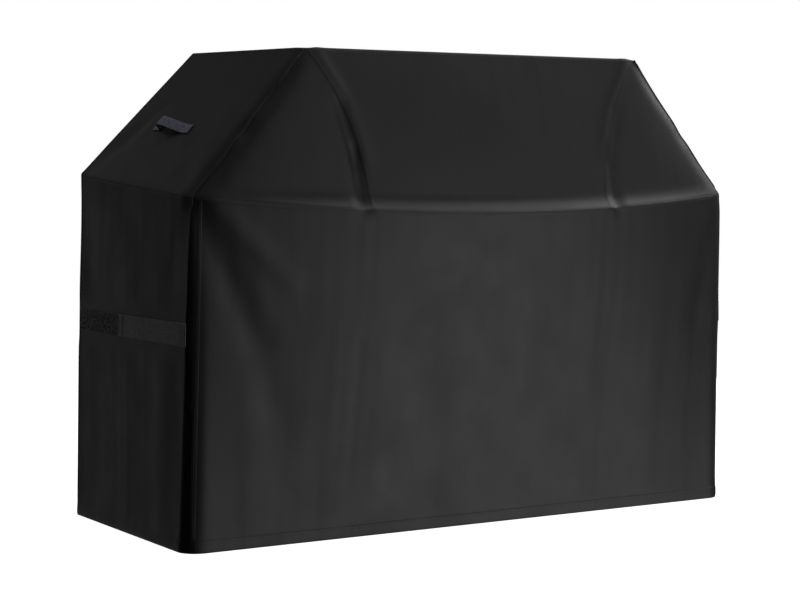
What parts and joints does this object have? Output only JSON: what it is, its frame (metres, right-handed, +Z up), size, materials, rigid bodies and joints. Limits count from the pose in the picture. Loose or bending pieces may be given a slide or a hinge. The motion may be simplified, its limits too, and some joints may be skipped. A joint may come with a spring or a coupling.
{
  "type": "grill cover",
  "caption": "Fitted fabric cover for a gas grill: straight skirt, sloping hood, webbing handles and hook-and-loop side straps.",
  "frame": {"origin": "centre of the cover's bounding box, on the surface that the hem stands on", "axes": "+Z up, -Y towards the front with the bulged skirt, +X to the right seen from the front"},
  "size_m": [1.473, 0.694, 1.0911],
  "materials": {
    "cover_cloth": "coated plain-weave polyester, soft satin",
    "hem_cloth": "coated plain-weave polyester, folded and stitched",
    "seam_tape": "narrow woven tape, matte",
    "handle_webbing": "woven polyester webbing, bluish grey, slight sheen",
    "hook_tape": "woven tape with moulded hooks on its inner face",
    "loop_pile": "brushed loop pile, fuzzy"
  },
  "bodies": {
    "root": {"front_skirt_panel": "cover_cloth", "back_skirt_panel": "cover_cloth", "left_skirt_panel": "cover_cloth", "right_skirt_panel": "cover_cloth", "front_hood_panel": "cover_cloth", "front_left_gusset": "cover_cloth", "front_right_gusset": "cover_cloth", "left_slope_panel": "cover_cloth", "right_slope_panel": "cover_cloth", "back_hood_panel": "cover_cloth", "top_panel": "cover_cloth", "front_hem": "hem_cloth", "back_hem": "hem_cloth", "left_hem": "hem_cloth", "right_hem": "hem_cloth", "front_shoulder_tape": "seam_tape", "back_shoulder_tape": "seam_tape", "top_front_tape": "seam_tape", "top_back_tape": "seam_tape", "front_left_corner_tape": "seam_tape", "back_left_corner_tape": "seam_tape", "left_shoulder_tape": "seam_tape", "front_left_slope_tape": "seam_tape", "back_left_slope_tape": "seam_tape", "left_crease_tape": "seam_tape", "top_left_tape": "seam_tape", "front_right_corner_tape": "seam_tape", "back_right_corner_tape": "seam_tape", "right_shoulder_tape": "seam_tape", "front_right_slope_tape": "seam_tape", "back_right_slope_tape": "seam_tape", "right_crease_tape": "seam_tape", "top_right_tape": "seam_tape", "left_handle_front_end": "handle_webbing", "left_handle_back_end": "handle_webbing", "left_loop_strip": "loop_pile", "left_hook_strap_sewn_end": "hook_tape", "right_handle_front_end": "handle_webbing", "right_handle_back_end": "handle_webbing", "right_loop_strip": "loop_pile", "right_hook_strap_sewn_end": "hook_tape"},
    "left_hook_strap": {"left_hook_strap": "hook_tape"},
    "right_hook_strap": {"right_hook_strap": "hook_tape"},
    "left_handle_grip": {"left_handle_grip": "handle_webbing"},
    "right_handle_grip": {"right_handle_grip": "handle_webbing"}
  },
  "joints": [
    {"name": "left_strap_peel", "type": "hinge", "parent": "root", "child": "left_hook_strap", "pos_m": [-0.72935, -0.2067, 0.46504], "axis": [0.0191, 0, 0.9998], "range_deg": [0, 150]},
    {"name": "right_strap_peel", "type": "hinge", "parent": "root", "child": "right_hook_strap", "pos_m": [0.72935, -0.2067, 0.46504], "axis": [0.0191, 0, -0.9998], "range_deg": [0, 150]},
    {"name": "left_handle_lift", "type": "slide", "parent": "root", "child": "left_handle_grip", "axis": [-0.7443, -0.0375, 0.6668], "range_m": [-0.01, 0.008]},
    {"name": "right_handle_lift", "type": "slide", "parent": "root", "child": "right_handle_grip", "axis": [0.7443, -0.0375, 0.6668], "range_m": [-0.01, 0.008]}
  ]
}
